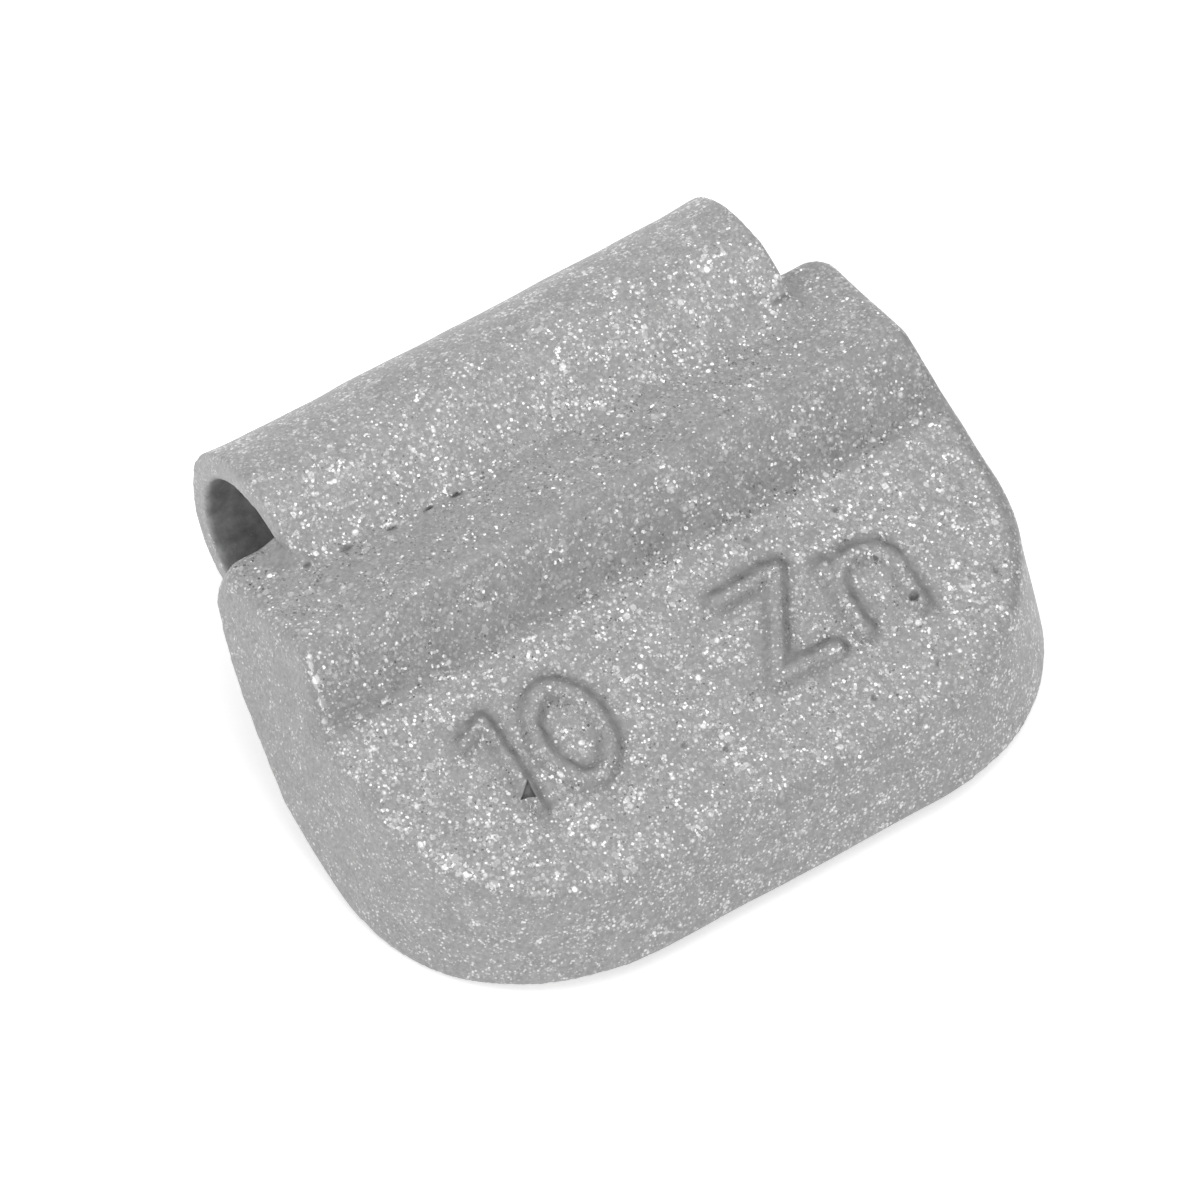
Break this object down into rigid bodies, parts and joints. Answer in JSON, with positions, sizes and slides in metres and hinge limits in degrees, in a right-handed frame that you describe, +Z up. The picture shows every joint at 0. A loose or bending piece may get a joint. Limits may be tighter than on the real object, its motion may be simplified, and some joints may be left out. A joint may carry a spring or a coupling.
{
  "type": "wheel balance weight",
  "caption": "Hammer-on wheel balance weight: a rounded cast zinc body with a flat front pad and a sloped brow, and a bent spring steel clip whose hook grips the rim flange.",
  "frame": {"origin": "middle of the bottom of the box round the part as it lies on its back", "axes": "+X along the rim, +Y towards the hook, +Z up, out of the front pad"},
  "size_m": [0.0234, 0.0194, 0.0073],
  "materials": {
    "body_coat": "grey metallic flake coat, slightly rough, over cast zinc",
    "clip_coat": "the same grey metallic flake coat over bent spring steel"
  },
  "bodies": {
    "root": {"weight_body": "body_coat", "rim_clip": "clip_coat"}
  },
  "joints": []
}
